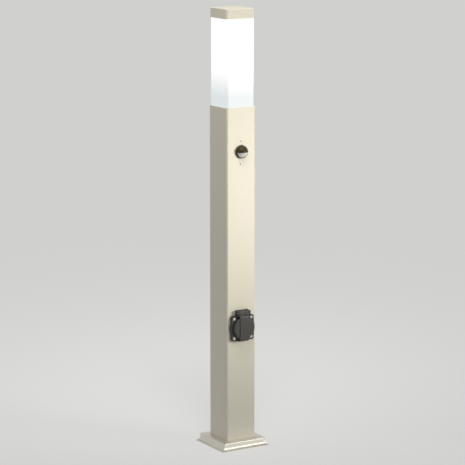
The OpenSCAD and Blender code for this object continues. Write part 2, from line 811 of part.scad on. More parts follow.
module socket_lid() {
    color([0.29, 0.29, 0.28]) on_face(socket_z) difference() {
        union() {
            rotate_extrude() difference() {
                translate([0, lid_base_out]) square([lid_r, lid_h]);
                translate([lid_r - lid_edge_r, lid_front_out - lid_edge_r]) difference() {
                    square(lid_edge_r + 1);
                    circle(lid_edge_r);
                }
            }
            intersection() {
                across(-knuckle_w / 2, knuckle_w / 2) lid_side();
                translate([0, -lid_r - 10, 0]) rotate([-90, 0, 0]) linear_extrude(2 * lid_r + 40) difference() {
                    translate([-band_w / 2, -band_front_out]) square([band_w, band_front_out]);
                    for (side = [-1, 1]) translate([side * (band_w / 2 - 1.5), -band_front_out + 1.5])
                        difference() {
                            translate([side > 0 ? 0 : -2, -2]) square(2);
                            circle(1.5);
                        }
                }
            }
        }
        disc(skirt_in_r, lid_base_out - 1, sealing_out + 0.3);
        disc(skirt_in_r, sealing_out, lid_front_out - lid_wall);
        block(band_w - 2 * lid_wall, 1.5 * lid_r, sealing_out, band_front_out - lid_wall);
        translate([0, hinge_y, hinge_out]) rotate([0, 90, 0]) {
            cylinder(r = pin_r + 0.07, h = hinge_w, center = true);
            cylinder(r = spring_slot_r, h = spring_slot_w, center = true);
        }
        translate([-spring_slot_w / 2, hinge_y - barrel_r - 0.5, hinge_out - barrel_r - 1])
            cube([spring_slot_w, 2 * barrel_r + 1, barrel_r + 1]);
        translate([-spring_slot_w / 2, hinge_y - spring_slot_r - 1, 0])
            cube([spring_slot_w, spring_slot_r, neck_back_out + 0.4]);
    }
}

module lid_seal() {
    color([0.08, 0.08, 0.08]) on_face(socket_z) difference() {
        disc(skirt_in_r - 0.05, seal_out, lid_front_out - lid_wall);
        disc(seal_in_r, seal_out - 1, lid_front_out);
    }
}

module lamp_bracket() {
    plate_w = post_in_w - 2 * bracket_play;
    color([0.72, 0.72, 0.7]) difference() {
        union() {
            square_bar(plate_w, post_in_r, bracket_top_z - bracket_t, bracket_top_z);
            translate([-bracket_tongue_w / 2, bracket_face_y - bracket_t, bracket_top_z - eps])
                cube([bracket_tongue_w, bracket_t, bracket_tongue_h]);
        }
        translate([0, 0, bracket_top_z - 5]) cylinder(r = lead_hole_r, h = 10);
        for (x = [-1, 1]) translate([x * lamp_screw_x, 0, bracket_top_z - 5])
            cylinder(r = small_screw_r, h = 10);
        at_head_screws() translate([0, 0, -post_w / 2]) cylinder(r = screw_r, h = post_w / 2);
    }
}

module head_screws() {
    color([0.86, 0.85, 0.82]) at_head_screws()
        domed_screw(screw_r, post_w / 2 - bracket_face_y + bracket_t + 2);
}

// Square frame of seal or diffuser between two heights
module square_tube(z0, z1) {
    difference() {
        square_bar(diffuser_w, diffuser_r, z0, z1);
        square_bar(diffuser_in_w, diffuser_r - diffuser_wall, z0 - 1, z1 + 1);
    }
}

module diffuser_seal() {
    color([0.85, 0.85, 0.83]) square_tube(bracket_top_z, diffuser_bottom_z);
}

module diffuser() {
    color([0.97, 0.97, 0.96]) difference() {
        square_tube(diffuser_bottom_z, diffuser_top_z);
        at_head_screws() disc(screw_r + hole_play, -post_w / 4, 0);
    }
}

module cap_seal() {
    color([0.8, 0.8, 0.78]) square_tube(diffuser_top_z, cap_top_z - cap_wall);
}

module top_cap() {
    color([0.85, 0.84, 0.79]) difference() {
        intersection() {
            square_bar(cap_w, cap_r, cap_bottom_z, cap_top_z);
            for_both_ways() profile_bar(cap_w + 2) difference() {
                square([cap_w / 2, cap_top_z]);
                translate([cap_w / 2 - cap_edge_r, cap_top_z - cap_edge_r]) difference() {
                    square(cap_edge_r + 1);
                    circle(cap_edge_r);
                }
            }
        }
        square_bar(cap_w - 2 * cap_wall, cap_r - cap_wall, cap_bottom_z - 1, cap_top_z - cap_wall);
    }
}

// What two copies of a shape, a quarter turn apart, have in common
module for_both_ways() {
    intersection() {
        children();
        rotate(90) children();
    }
}

module lampholder_body() {
    color([0.93, 0.92, 0.88]) translate([0, 0, bracket_top_z]) difference() {
        union() {
            cylinder(r = holder_flange_r, h = holder_flange_h);
            cylinder(r = holder_r, h = holder_h);
        }
        translate([0, 0, holder_floor_h]) cylinder(r = shell_r, h = holder_h);
        translate([0, 0, -1]) cylinder(r = lead_hole_r, h = lead_pocket_h + 1);
        for (x = [-1, 1]) translate([x * lamp_screw_x, 0, -1])
            cylinder(r = small_screw_r + hole_play, h = holder_h);
    }
}

module lampholder_shell() {
    color([0.8, 0.7, 0.4]) translate([0, 0, bracket_top_z + holder_floor_h]) difference() {
        cylinder(r = shell_r, h = holder_h - holder_floor_h - 2);
        translate([0, 0, shell_t]) cylinder(r = shell_r - shell_t, h = holder_h);
        translate([0, 0, -1]) cylinder(r = lamp_screw_x + 3.5, h = holder_h);
    }
}

module lampholder_contact() {
    color([0.8, 0.68, 0.38]) translate([-2, 0, bracket_top_z + holder_floor_h]) rotate([90, 0, 90])
        linear_extrude(4) polygon([[-6, 0], [6, 0], [6, 0.8], [-3.5, 0.8], [2.5, contact_h - 0.8], [3, contact_h], [-3, contact_h],
            [-6, 0.8]]);
}

module lampholder_screws() {
    color([0.8, 0.79, 0.75]) for (x = [-1, 1])
        translate([x * lamp_screw_x, 0, bracket_top_z + holder_floor_h])
            domed_screw(small_screw_r, holder_floor_h + bracket_t + 1, 2.6, 1.6);
}

module lamp_cap() {
    tip_r = 4.5;
    color([0.78, 0.78, 0.76]) translate([0, 0, lamp_tip_z]) union() {
        cylinder(r = tip_r, h = 3);
        translate([0, 0, 2]) cylinder(r1 = 7.5, r2 = lamp_cap_r, h = 3);
        translate([0, 0, 5]) cylinder(r = lamp_cap_r, h = lamp_cap_h - 5);
    }
}

// Half of the bulb's outline, grown or shrunk by a wall
module bulb_half(shrink) {
    globe_z = lamp_h - globe_r;
    difference() {
        union() {
            translate([0, globe_z]) circle(globe_r - shrink);
            polygon([[0, lamp_cap_h], [lamp_cap_r - 0.2 - shrink, lamp_cap_h],
                [globe_r * 0.84 - shrink, globe_z - globe_r * 0.5], [0, globe_z - globe_r * 0.5]]);
        }
        translate([-2 * globe_r, -1]) square([2 * globe_r, 2 * lamp_h]);
        translate([-1, -1]) square([2 * globe_r, lamp_cap_h + 1]);
    }
}

module lamp_bulb() {
    color([0.95, 0.95, 0.92]) translate([0, 0, lamp_tip_z]) rotate_extrude() difference() {
        bulb_half(0);
        bulb_half(1);
    }
}

module socket_leads() {
    wire_y = block_y + 2;
    for (i = [0, 1, 2]) color(i == 0 ? "steelblue" : i == 1 ? "yellowgreen" : "sienna") {
        x = wire_x[i];
        at = [clamp_at[i][0], socket_z + clamp_at[i][1] + wire_up];
        wire_along(smooth([[x, wire_y, wire_start_z], [x, wire_y, block_top_z], [x, wire_y, block_top_z + 12],
            [x, wall_run_y, socket_z * 0.38], [x * 0.8, wall_run_y, socket_z * 0.63],
            [x * 0.9, wall_run_y - 1, socket_z * 0.8], [at[0], socket_back_y + 15, at[1] - 14],
            [at[0], socket_back_y + 7, at[1] - 1], [at[0], socket_back_y + 4, at[1]],
            [at[0], socket_back_y + 1, at[1]], [at[0], socket_back_y - 1.9, at[1]]], 4), wire_r, 8);
    }
}

module sensor_lead() {
    x = -lead_entry_x;
    color([0.85, 0.85, 0.83]) wire_along(smooth(concat(
        [for (up = [0, 8, 24]) [x, block_y, lead_start_z + up]],
        corner_run(-1, sensor_z, [0.2, 0.4, 0.6, 0.8]),
        [[-wall_run_x / 2, wall_run_y - 3, sensor_z - 45], [-2, wall_run_y - 10, sensor_z - 14],
            [0, sensor_back_y + 12, sensor_z - 1]],
        [for (back = [8, 4, -2]) [0, sensor_back_y + back, sensor_z]]), 4), lead_r, 8);
}

module lamp_lead() {
    x = lead_entry_x;
    color([0.85, 0.85, 0.83]) wire_along(smooth(concat(
        [for (up = [0, 8, 24]) [x, block_y, lead_start_z + up]],
        corner_run(1, bracket_top_z, [0.19, 0.38, 0.57, 0.75]),
        [[wall_run_x * 0.9, wall_run_y - 5, bracket_top_z - 82], [6, 6, bracket_top_z - 42]],
        [for (up = [-22, -12, -4, lead_pocket_h]) [0, 0, bracket_top_z + up]]), 4), lead_r, 8);
}

// Half the end view of the base cover, grown inwards by a wall
module cover_half() {
    wall_x = cover_w / 2;
    difference() {
        union() {
            square([wall_x, cover_h]);
            square([wall_x + flare, rim_t + flare]);
        }
        translate([wall_x + flare, rim_t + flare]) circle(flare);
        translate([wall_x - cover_edge_r, cover_h - cover_edge_r]) difference() {
            square(cover_edge_r + 1);
            circle(cover_edge_r);
        }
    }
}

module base_cover() {
    color([0.84, 0.83, 0.77]) difference() {
        intersection() {
            for_both_ways() profile_bar(rim_w + 2) cover_half();
            union() {
                square_bar(cover_w, cover_r, -1, cover_h + 1);
                translate([0, 0, (rim_t + flare) / 2 - 1])
                    cube([rim_w + 2, rim_w + 2, rim_t + flare + 2], center = true);
            }
        }
        square_bar(cover_in_w, cover_r, -1, cover_h - cover_wall);
        square_bar(post_w + 2 * cover_play, post_r + cover_play, -2, cover_h + 2);
    }
}

base_plate();
cable_grommet();
post_tube();
terminal_block();
terminal_screws();
earth_stud();
sensor_housing();
sensor_hood();
sensor_screws();
socket_gasket();
socket_housing();
socket_insert();
socket_back();
earth_bow();
contact_live();
contact_neutral();
insert_screw();
socket_terminal_screws();
socket_screws();
socket_nuts();
hinge_pin();
lid_spring();
lamp_bracket();
head_screws();
diffuser_seal();
diffuser();
cap_seal();
top_cap();
lampholder_body();
lampholder_shell();
lampholder_contact();
lampholder_screws();
lamp_cap();
lamp_bulb();
socket_leads();
sensor_lead();
lamp_lead();
base_cover();
socket_lid();
lid_seal();
sensor_swivel();
sensor_ball();
sensor_lens();
sensor_board();
pyro_element();
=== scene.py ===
"""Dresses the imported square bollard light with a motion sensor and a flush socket.
Lengths are in metres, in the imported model's frame: the origin is on the ground at the post's axis,
+Z is up and the front face looks along -Y."""

import math

import bmesh
import bpy
from mathutils import Matrix, Vector


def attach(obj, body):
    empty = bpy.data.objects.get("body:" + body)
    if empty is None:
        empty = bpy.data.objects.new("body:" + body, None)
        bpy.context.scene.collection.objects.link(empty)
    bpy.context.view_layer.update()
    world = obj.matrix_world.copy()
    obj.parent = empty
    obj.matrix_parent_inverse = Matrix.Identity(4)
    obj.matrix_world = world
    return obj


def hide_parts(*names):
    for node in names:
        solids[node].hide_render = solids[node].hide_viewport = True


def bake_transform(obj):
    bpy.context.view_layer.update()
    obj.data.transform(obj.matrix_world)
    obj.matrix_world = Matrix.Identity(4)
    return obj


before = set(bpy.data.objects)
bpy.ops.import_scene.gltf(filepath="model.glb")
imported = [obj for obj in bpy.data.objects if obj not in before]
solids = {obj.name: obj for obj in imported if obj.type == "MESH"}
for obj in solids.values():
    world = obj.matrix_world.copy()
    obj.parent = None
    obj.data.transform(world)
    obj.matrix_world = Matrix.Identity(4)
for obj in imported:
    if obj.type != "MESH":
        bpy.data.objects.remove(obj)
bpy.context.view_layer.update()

# Camera. The object is seen from the left of its front face and from a little above its light head,
# through a long lens, so that the post's upright edges stay nearly parallel.
camera_turn, camera_rise = math.radians(-31.43), math.radians(10.66)
camera_aim, camera_distance, lens_length = Vector((0.0002, -0.0001, 0.421)), 4.2, 168.15
camera_back = Vector((math.sin(camera_turn) * math.cos(camera_rise),
                      -math.cos(camera_turn) * math.cos(camera_rise), math.sin(camera_rise)))
camera = bpy.data.objects.new("camera", bpy.data.cameras.new("camera"))
camera.data.lens = lens_length
camera.location = camera_aim + camera_back * camera_distance
camera.rotation_euler = camera_back.to_track_quat("Z", "Y").to_euler()
bpy.context.scene.collection.objects.link(camera)
bpy.context.scene.camera = camera


# Post. A square stainless tube, cut to length, deburred, ground lengthways with a fine belt and
# left satin. The ground lines run up the faces and the edges round the cut-outs are broken.
class Amount:
    """A number that changes over a surface. Maths on it adds the shader's own Math nodes."""

    def __init__(self, nodes, socket):
        self.nodes, self.socket = nodes, socket

    def maths(self, operation, *values):
        node = self.nodes.add("ShaderNodeMath", {"operation": operation}, dict(enumerate(values)))
        return Amount(self.nodes, node.outputs[0])

    def __add__(self, other):
        return self.maths("ADD", self, other)

    def __sub__(self, other):
        return self.maths("SUBTRACT", self, other)

    def __rsub__(self, other):
        return self.maths("SUBTRACT", other, self)

    def __mul__(self, other):
        return self.maths("MULTIPLY", self, other)

    def __or__(self, other):
        """The larger of two numbers, so that one of two masks is enough."""
        return self.maths("MAXIMUM", self, other)

    __radd__, __rmul__ = __add__, __mul__

    def clipped(self, low, high):
        """This number spread so that low becomes 0 and high becomes 1."""
        node = self.nodes.add("ShaderNodeMapRange", {"clamp": True}, {0: self, 1: low, 2: high})
        return Amount(self.nodes, node.outputs[0])


class ShaderNodes:
    """The shader nodes of a finish or of the studio's sky."""

    def __init__(self, tree):
        self.tree = tree

    def put(self, node, values):
        """Sets a node's sockets to plain values, or links them to what changes over a surface."""
        for name, value in values.items():
            if isinstance(value, Amount):
                value = value.socket
            if isinstance(value, bpy.types.NodeSocket):
                self.tree.links.new(value, node.inputs[name])
            else:
                node.inputs[name].default_value = value

    def add(self, kind, settings=None, values=None):
        """Adds a node: its settings first, then its sockets' values or links."""
        node = self.tree.nodes.new(kind)
        for name, value in (settings or {}).items():
            setattr(node, name, value)
        self.put(node, values or {})
        return node


class Finish(ShaderNodes):
    """One finish of the bollard, as a material built from shader nodes."""

    def __init__(self, name, fixed):
        self.material = bpy.data.materials.new(name)
        self.material.use_nodes = True
        super().__init__(self.material.node_tree)
        self.shader = self.tree.nodes["Principled BSDF"]
        self.put(self.shader, fixed)
        self.place = self.add("ShaderNodeTexCoord").outputs["Object"]

    def grain(self, size, stretch=(1, 1, 1), detail=3.0, rough=0.5):
        """Noise from 0 to 1 whose spots are about size across, drawn out by stretch."""
        scale = [1 / (size * drawn_out) for drawn_out in stretch]
        laid = self.add("ShaderNodeMapping", {}, {0: self.place, "Scale": scale})
        noise = self.add("ShaderNodeTexNoise", {}, {"Vector": laid.outputs[0], "Scale": 1.0,
                                                    "Detail": detail, "Roughness": rough})
        return Amount(self, noise.outputs[0])

    def across(self, axis):
        """The place along one axis, in metres."""
        parts = self.add("ShaderNodeSeparateXYZ", {}, {0: self.place})
        return Amount(self, parts.outputs[axis])

    def blend(self, amount, first, second):
        """A colour between two colours."""
        mix = self.add("ShaderNodeMix", {"data_type": "RGBA"}, {0: amount, 6: (*first, 1), 7: (*second, 1)})
        return mix.outputs[2]

    def shows(self, colour, roughness, relief, depth, strength=1.0):
        """Feeds what changes over the surface: colour, roughness and a relief of some depth in metres."""
        bump = self.add("ShaderNodeBump", {}, {"Strength": strength, "Distance": depth, "Height": relief})
        self.put(self.shader, {"Base Color": colour, "Roughness": roughness, "Normal": bump.outputs[0]})
        return self.material


def finished(piece, material):
    """Gives a piece its one material."""
    piece.data.materials.clear()
    piece.data.materials.append(material)
    return piece


shown_sharp = math.radians(32)


def placed(shape, name, body, node):
    """Turns a finished bmesh into a smooth-shaded piece on a body, in the stead of a solid."""
    mesh = bpy.data.meshes.new(name)
    shape.to_mesh(mesh)
    shape.free()
    mesh.shade_smooth()
    mesh.set_sharp_from_angle(angle=shown_sharp)
    piece = bpy.data.objects.new(name, mesh)
    bpy.context.scene.collection.objects.link(piece)
    piece.modifiers.new("flats stay flat", "WEIGHTED_NORMAL").keep_sharp = True
    if body:
        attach(piece, body)
    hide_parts(node)
    return piece


same_point, same_plane = 2e-6, math.radians(0.5)
sharp_edge = math.radians(35)


def eased(node, body, name, edge, steps=2, sharp_behind=1.0):
    """A copy of a solid with its sharp edges broken, apart from those behind a plane, in its place."""
    shape = bmesh.new()
    shape.from_mesh(solids[node].data)
    bmesh.ops.remove_doubles(shape, verts=shape.verts, dist=same_point)
    bmesh.ops.dissolve_limit(shape, angle_limit=same_plane, verts=shape.verts, edges=shape.edges)
    edges = [e for e in shape.edges if e.is_manifold and e.calc_face_angle(0) > sharp_edge
             and max(v.co.y for v in e.verts) < sharp_behind]
    if edge:
        bmesh.ops.bevel(shape, geom=edges, offset=edge, offset_type="OFFSET", segments=steps, profile=0.5,
                        affect="EDGES", clamp_overlap=False, material=-1)
    return placed(shape, name, body, node)


satin = Finish("satin stainless", {"Metallic": 0.15, "IOR": 1.5})
ground_lines = satin.grain(0.0009, stretch=(1, 1, 90), rough=0.65)
clouds = satin.grain(0.09, stretch=(1, 1, 2.5), detail=2.0)
satin_stainless = satin.shows(
    colour=satin.blend(ground_lines * 0.35 + clouds * 0.65, (0.79, 0.75, 0.635), (0.85, 0.815, 0.705)),
    roughness=0.4 + ground_lines * 0.13 + clouds * 0.05, relief=ground_lines, depth=0.00003, strength=0.35)
finished(eased("post_tube", "post", "ground_tube", edge=0.00025), satin_stainless)


# Base plate. A laser-cut steel plate, welded round the foot of the post and hot-dip galvanised,
# with the rubber bush in its cable hole and the brass stud for the protective earth.
crystals_a_metre = 130.0
zinc = Finish("galvanised steel", {"Metallic": 0.75})
crystals = zinc.add("ShaderNodeTexVoronoi", {}, {"Vector": zinc.place, "Scale": crystals_a_metre})
spangle = Amount(zinc, crystals.outputs["Color"])
dull = zinc.grain(0.004, detail=4.0)
galvanised = zinc.shows(
    colour=zinc.blend(spangle, (0.42, 0.43, 0.43), (0.60, 0.61, 0.60)),
    roughness=0.42 + spangle * 0.12 + dull * 0.14, relief=dull, depth=0.0001, strength=0.4)
finished(eased("base_plate", "post", "galvanised_plate", edge=0.0003), galvanised)

rubber = Finish("black rubber", {"Specular IOR Level": 0.35})
bloom = rubber.grain(0.0012)
black_rubber = rubber.shows(colour=rubber.blend(bloom, (0.018, 0.018, 0.018), (0.045, 0.044, 0.042)),
                            roughness=0.62 + bloom * 0.2, relief=bloom, depth=0.00006, strength=0.5)
finished(eased("cable_grommet", "post", "rubber_bush", edge=0.0004, steps=3), black_rubber)

brass = Finish("contact brass", {"Metallic": 1.0})
drawn = brass.grain(0.0006, stretch=(1, 1, 6), detail=2.0)
contact_brass = brass.shows(colour=brass.blend(drawn, (0.62, 0.45, 0.18), (0.84, 0.66, 0.32)),
                            roughness=0.2 + drawn * 0.18, relief=drawn, depth=0.00002, strength=0.4)
for node in ("earth_stud", "terminal_screws"):
    finished(eased(node, "post", node + "_turned", edge=0.00012), contact_brass)

# Terminal block. A strip of pale moulded thermoplastic with a dull, spark-eroded skin, screwed to the
# plate. The mains cable would come in beside it, and each wire has its own clamp screw.
pale = Finish("pale moulding", {"Subsurface Weight": 0.05, "Subsurface Scale": 0.002})
eroded = pale.grain(0.0005)
pale_moulding = pale.shows(colour=pale.blend(eroded, (0.64, 0.62, 0.55), (0.76, 0.74, 0.67)),
                           roughness=0.42 + eroded * 0.16, relief=eroded, depth=0.00003, strength=0.5)
finished(eased("terminal_block", "post", "terminal_moulding", edge=0.0004), pale_moulding)

# Wires. Three single insulated wires run from the block to the socket, and two round sheathed leads
# run up the rear corners to the sensor and the lamp. They are extruded, soft and slightly matt.
front_y, socket_z, sensor_z, bracket_z = -0.0325, 0.2395, 0.583, 0.6415
socket_back_y, sensor_back_y = front_y + 0.0305, front_y + 0.0157
wire_r, pole_pitch, pin_out, clamp_up, earth_clamp_down = 0.0013, 0.012, 0.0095, 0.0017, 0.012
lead_r, lead_entry_x, corner_x, corner_y = 0.0024, 0.0255, 0.0245, 0.022
block_y, wire_foot_z, lead_foot_z = 0.0205, 0.018, 0.017


def sheath(name, low, high):
    """A soft extruded insulation between two shades."""
    skin = Finish(name, {"Specular IOR Level": 0.4})
    streaks = skin.grain(0.0015, stretch=(1, 1, 14))
    return skin.shows(colour=skin.blend(streaks, low, high), roughness=0.42 + streaks * 0.18,
                      relief=streaks, depth=0.00004, strength=0.4)


def drawn_along(name, route, radius, between=8, roundness=4):
    """A closed round wire along a smooth route through the given points."""
    curve = bpy.data.curves.new(name, "CURVE")
    curve.dimensions, curve.bevel_depth, curve.use_fill_caps = "3D", radius, True
    curve.bevel_resolution, curve.resolution_u = roundness, between
    line = curve.splines.new("BEZIER")
    line.bezier_points.add(len(route) - 1)
    for point, place in zip(line.bezier_points, route):
        point.co = place
        point.handle_left_type = point.handle_right_type = "AUTO"
    guide = bpy.data.objects.new(name, curve)
    bpy.context.scene.collection.objects.link(guide)
    tube = bpy.data.meshes.new_from_object(guide.evaluated_get(bpy.context.evaluated_depsgraph_get()))
    bpy.data.objects.remove(guide)
    shape = bmesh.new()
    shape.from_mesh(tube)
    bmesh.ops.remove_doubles(shape, verts=shape.verts, dist=same_point)
    bmesh.ops.recalc_face_normals(shape, faces=shape.faces)
    return shape


def wire(name, route, radius, material, node):
    """A round wire along a smooth route, which takes the place of a wire solid."""
    finished(placed(drawn_along(name, route, radius), name, "post", node), material)


socket_wires = (("wire_blue", -pole_pitch, -pin_out, 0.0, (0.02, 0.06, 0.2), (0.03, 0.09, 0.27)),
                ("wire_earth", 0.0, 0.0, earth_clamp_down, (0.12, 0.3, 0.03), (0.5, 0.5, 0.05)),
                ("wire_brown", pole_pitch, pin_out, 0.0, (0.09, 0.035, 0.015), (0.14, 0.06, 0.03)))
for name, pole_x, clamp_x, clamp_down, low, high in socket_wires:
    clamp_z = socket_z - clamp_down + clamp_up
    wire(name, [(pole_x, block_y + 0.002, z) for z in (wire_foot_z, 0.024, 0.036)]
         + [(pole_x, corner_y, 0.091), (pole_x * 0.8, corner_y, 0.1509),
            (pole_x * 0.9, corner_y - 0.001, 0.1916),
            (clamp_x, socket_back_y + 0.015, clamp_z - 0.014),
            (clamp_x, socket_back_y + 0.007, clamp_z - 0.001)]
         + [(clamp_x, socket_back_y + y, clamp_z) for y in (0.004, 0.001, -0.0019)],
         wire_r, sheath(name + " insulation", low, high), "socket_leads")
grey_sheath = sheath("grey sheath", (0.55, 0.55, 0.53), (0.66, 0.66, 0.64))
wire("lead_to_sensor", [(-lead_entry_x, block_y, lead_foot_z + up) for up in (0, 0.008, 0.024)]
     + [(-corner_x, corner_y, sensor_z * share) for share in (0.2, 0.4, 0.6, 0.8)]
     + [(-corner_x / 2, corner_y - 0.003, sensor_z - 0.045), (-0.002, corner_y - 0.01, sensor_z - 0.014),
        (0, sensor_back_y + 0.012, sensor_z - 0.001)]
     + [(0, sensor_back_y + y, sensor_z) for y in (0.008, 0.004, -0.002)],
     lead_r, grey_sheath, "sensor_lead")
wire("lead_to_lamp", [(lead_entry_x, block_y, lead_foot_z + up) for up in (0, 0.008, 0.024)]
     + [(corner_x, corner_y, bracket_z * share) for share in (0.19, 0.38, 0.57, 0.75)]
     + [(corner_x * 0.9, corner_y - 0.005, bracket_z - 0.082), (0.006, 0.006, bracket_z - 0.042)]
     + [(0, 0, bracket_z + up) for up in (-0.022, -0.012, -0.004, 0.007)],
     lead_r, grey_sheath, "lamp_lead")

# Motion sensor. A glass-filled nylon carrier behind the post's wall holds a friction cup, and the
# eye is a dark moulded ball with a board and a metal-cased detector inside it.
black = Finish("black moulding", {"Specular IOR Level": 0.45})
fine_grain = black.grain(0.0004)
flow = black.grain(0.012, detail=2.0)
black_moulding = black.shows(
    colour=black.blend(flow, (0.030, 0.030, 0.030), (0.042, 0.042, 0.041)),
    roughness=0.4 + fine_grain * 0.18, relief=fine_grain, depth=0.00003, strength=0.5)
finished(eased("sensor_housing", "post", "sensor_carrier", edge=0.0003), black_moulding)
finished(eased("sensor_swivel", "sensor_swivel", "friction_cup", edge=0), black_moulding)

bronze = Finish("dark bronze moulding", {
    "Coat Roughness": 0.2, "Coat Weight": 0.06, "Specular IOR Level": 0.28})
flecks = bronze.grain(0.0009, rough=0.6)
dark_bronze = bronze.shows(
    colour=bronze.blend(flecks.clipped(0.38, 0.7), (0.018, 0.015, 0.001), (0.068, 0.058, 0.008)),
    roughness=0.28 + flecks * 0.2, relief=flecks, depth=0.00006, strength=0.5)
finished(eased("sensor_hood", "post", "rain_hood", edge=0.00025, steps=3), dark_bronze)
finished(eased("sensor_ball", "sensor_eye", "eye_shell", edge=0), dark_bronze)

tracks_a_metre, track_gap = 420.0, 0.06
board = Finish("lacquered board", {"Coat Weight": 0.6, "Coat Roughness": 0.15})
upright = board.add("ShaderNodeMapping", {}, {0: board.place, "Rotation": (math.pi / 2, 0, 0)})
pattern = board.add("ShaderNodeTexBrick", {"offset": 0.5}, {
    "Vector": upright.outputs[0], "Scale": tracks_a_metre, "Mortar Size": track_gap})
tracks = Amount(board, pattern.outputs["Fac"])
lacquered_board = board.shows(colour=board.blend(tracks, (0.02, 0.13, 0.055), (0.05, 0.24, 0.10)),
                              roughness=0.3 + tracks * 0.15, relief=tracks, depth=0.00004)
finished(eased("sensor_board", "sensor_eye", "round_board", edge=0.00008), lacquered_board)

pressed = Finish("pressed bright steel", {"Metallic": 1.0})
turning = pressed.grain(0.0005)
bright_steel = pressed.shows(
    colour=pressed.blend(turning, (0.60, 0.59, 0.56), (0.72, 0.71, 0.68)),
    roughness=0.22 + turning * 0.14, relief=turning, depth=0.00002, strength=0.3)
finished(eased("pyro_element", "sensor_eye", "detector_can", edge=0.0002), bright_steel)
for node in ("sensor_screws", "socket_screws", "head_screws", "insert_screw"):
    finished(eased(node, "post", node + "_domed", edge=0.00012), bright_steel)

# Lens. One thin milky dome that lets heat through: a grid of small moulded windows on its inner
# and outer skin, snapped on to the front of the ball.
eye_centre, eye_r, lens_wall, seam_out = Vector((0, front_y - 0.001, sensor_z)), 0.0115, 0.0009, 0.0015
window_spokes, window_rings, window_frame, window_depth = 24, 20, 0.00012, 0.00006
on_cut = 1e-6
dome = bmesh.new()
bmesh.ops.create_uvsphere(dome, u_segments=window_spokes, v_segments=window_rings, radius=eye_r)
bmesh.ops.rotate(dome, verts=dome.verts, matrix=Matrix.Rotation(math.radians(90), 3, "X"))
bmesh.ops.bisect_plane(dome, geom=dome.verts[:] + dome.edges[:] + dome.faces[:], dist=on_cut,
                       plane_co=(0, -seam_out, 0), plane_no=(0, 1, 0), clear_outer=True)
windows = [f for f in dome.faces if len(f.verts) == 4]
bmesh.ops.inset_individual(dome, faces=windows, thickness=window_frame, depth=-window_depth)
bmesh.ops.recalc_face_normals(dome, faces=dome.faces)
bmesh.ops.solidify(dome, geom=dome.faces[:], thickness=lens_wall)
bmesh.ops.translate(dome, verts=dome.verts, vec=eye_centre)
# The rim of both skins lies level with the seam.
for corner in dome.verts:
    corner.co.y = min(corner.co.y, eye_centre.y - seam_out)
milky = Finish("milky lens", {"Coat Weight": 0.3, "Coat Roughness": 0.15})
moulded = milky.grain(0.002, detail=2.0)
milky_lens = milky.shows(colour=milky.blend(moulded, (0.93, 0.93, 0.87), (0.96, 0.96, 0.91)),
                         roughness=0.24 + moulded * 0.1, relief=moulded, depth=0.00003, strength=0.4)
finished(placed(dome, "windowed_lens", "sensor_eye", "sensor_lens"), milky_lens)

# Socket. A black panel socket: gasket, moulded housing with its round collar, contact carrier with
# brass contacts, and four domed screws that go through the post's wall into nuts.
grained = Finish("grained black moulding", {"Specular IOR Level": 0.5})
leather = grained.grain(0.0005, rough=0.6)
haze = grained.grain(0.018, detail=2.0)
grained_moulding = grained.shows(
    colour=grained.blend(haze, (0.046, 0.046, 0.045), (0.060, 0.060, 0.058)),
    roughness=0.4 + leather * 0.2, relief=leather, depth=0.00004, strength=0.6)
finished(eased("socket_housing", "post", "socket_moulding", edge=0.0003, steps=3),
         grained_moulding)
finished(eased("socket_gasket", "post", "flange_seal", edge=0.0002), black_rubber)
finished(eased("socket_insert", "post", "contact_carrier", edge=0.0002), black_moulding)
finished(eased("socket_back", "post", "carrier_back", edge=0.0003), black_moulding)
for node in ("earth_bow", "contact_live", "contact_neutral"):
    finished(eased(node, "post", node + "_sprung", edge=0.0001), contact_brass)
for node, edge in (("socket_terminal_screws", 0.00008), ("socket_nuts", 0.0002)):
    finished(eased(node, "post", node + "_plated", edge=edge), bright_steel)

# Lid. A round moulded lid with a raised band, a grip tab and a knuckle, on a steel pin, with a
# rubber ring inside. Its band stands little out from the disc, and rises to full height at the tab.
knuckle_y, disc_y, band_kept, tab_top_z, band_foot_z = -0.041, -0.0455, 0.45, 0.216, 0.222
lid = finished(eased("socket_lid", "lid", "lid_moulding", edge=0.0003, steps=3, sharp_behind=knuckle_y),
               grained_moulding)
for corner in lid.data.vertices:
    away_from_tab = min(max((corner.co.z - tab_top_z) / (band_foot_z - tab_top_z), 0), 1)
    if corner.co.y < disc_y:
        corner.co.y += (disc_y - corner.co.y) * (1 - band_kept) * away_from_tab
finished(eased("lid_seal", "lid", "lid_ring", edge=0.0002), black_rubber)

# Hinge spring. A torsion spring of round drawn wire sits on the lid's pin between the knuckles. Its
# inner leg rests on the socket's web and its outer leg on the lid's neck, and it holds the lid shut.
drawn_wire = Finish("drawn spring wire", {"Metallic": 1.0})
die_marks = drawn_wire.grain(0.0003, detail=2.0)
spring_wire = drawn_wire.shows(colour=drawn_wire.blend(die_marks, (0.5, 0.5, 0.5), (0.66, 0.66, 0.65)),
                               roughness=0.2 + die_marks * 0.15, relief=die_marks, depth=0.00001)
finished(eased("hinge_pin", "post", "hinge_pin_ground", edge=0.0002), bright_steel)
hinge_z, hinge_out, web_out, neck_out = socket_z + 0.0308, 0.0085, 0.0028, 0.0088
coil_half, coil_r, spring_wire_r, turns, points_a_turn = 0.0042, 0.0023, 0.0004, 6.75, 12
coil_points = round(turns * points_a_turn)
coil = [(-coil_half, hinge_z - coil_r, out) for out in (web_out, (web_out + hinge_out) / 2)]
for point in range(coil_points + 1):
    turn = math.pi - 2 * math.pi * point / points_a_turn
    coil.append((-coil_half + 2 * coil_half * point / coil_points,
                 hinge_z + coil_r * math.cos(turn), hinge_out + coil_r * math.sin(turn)))
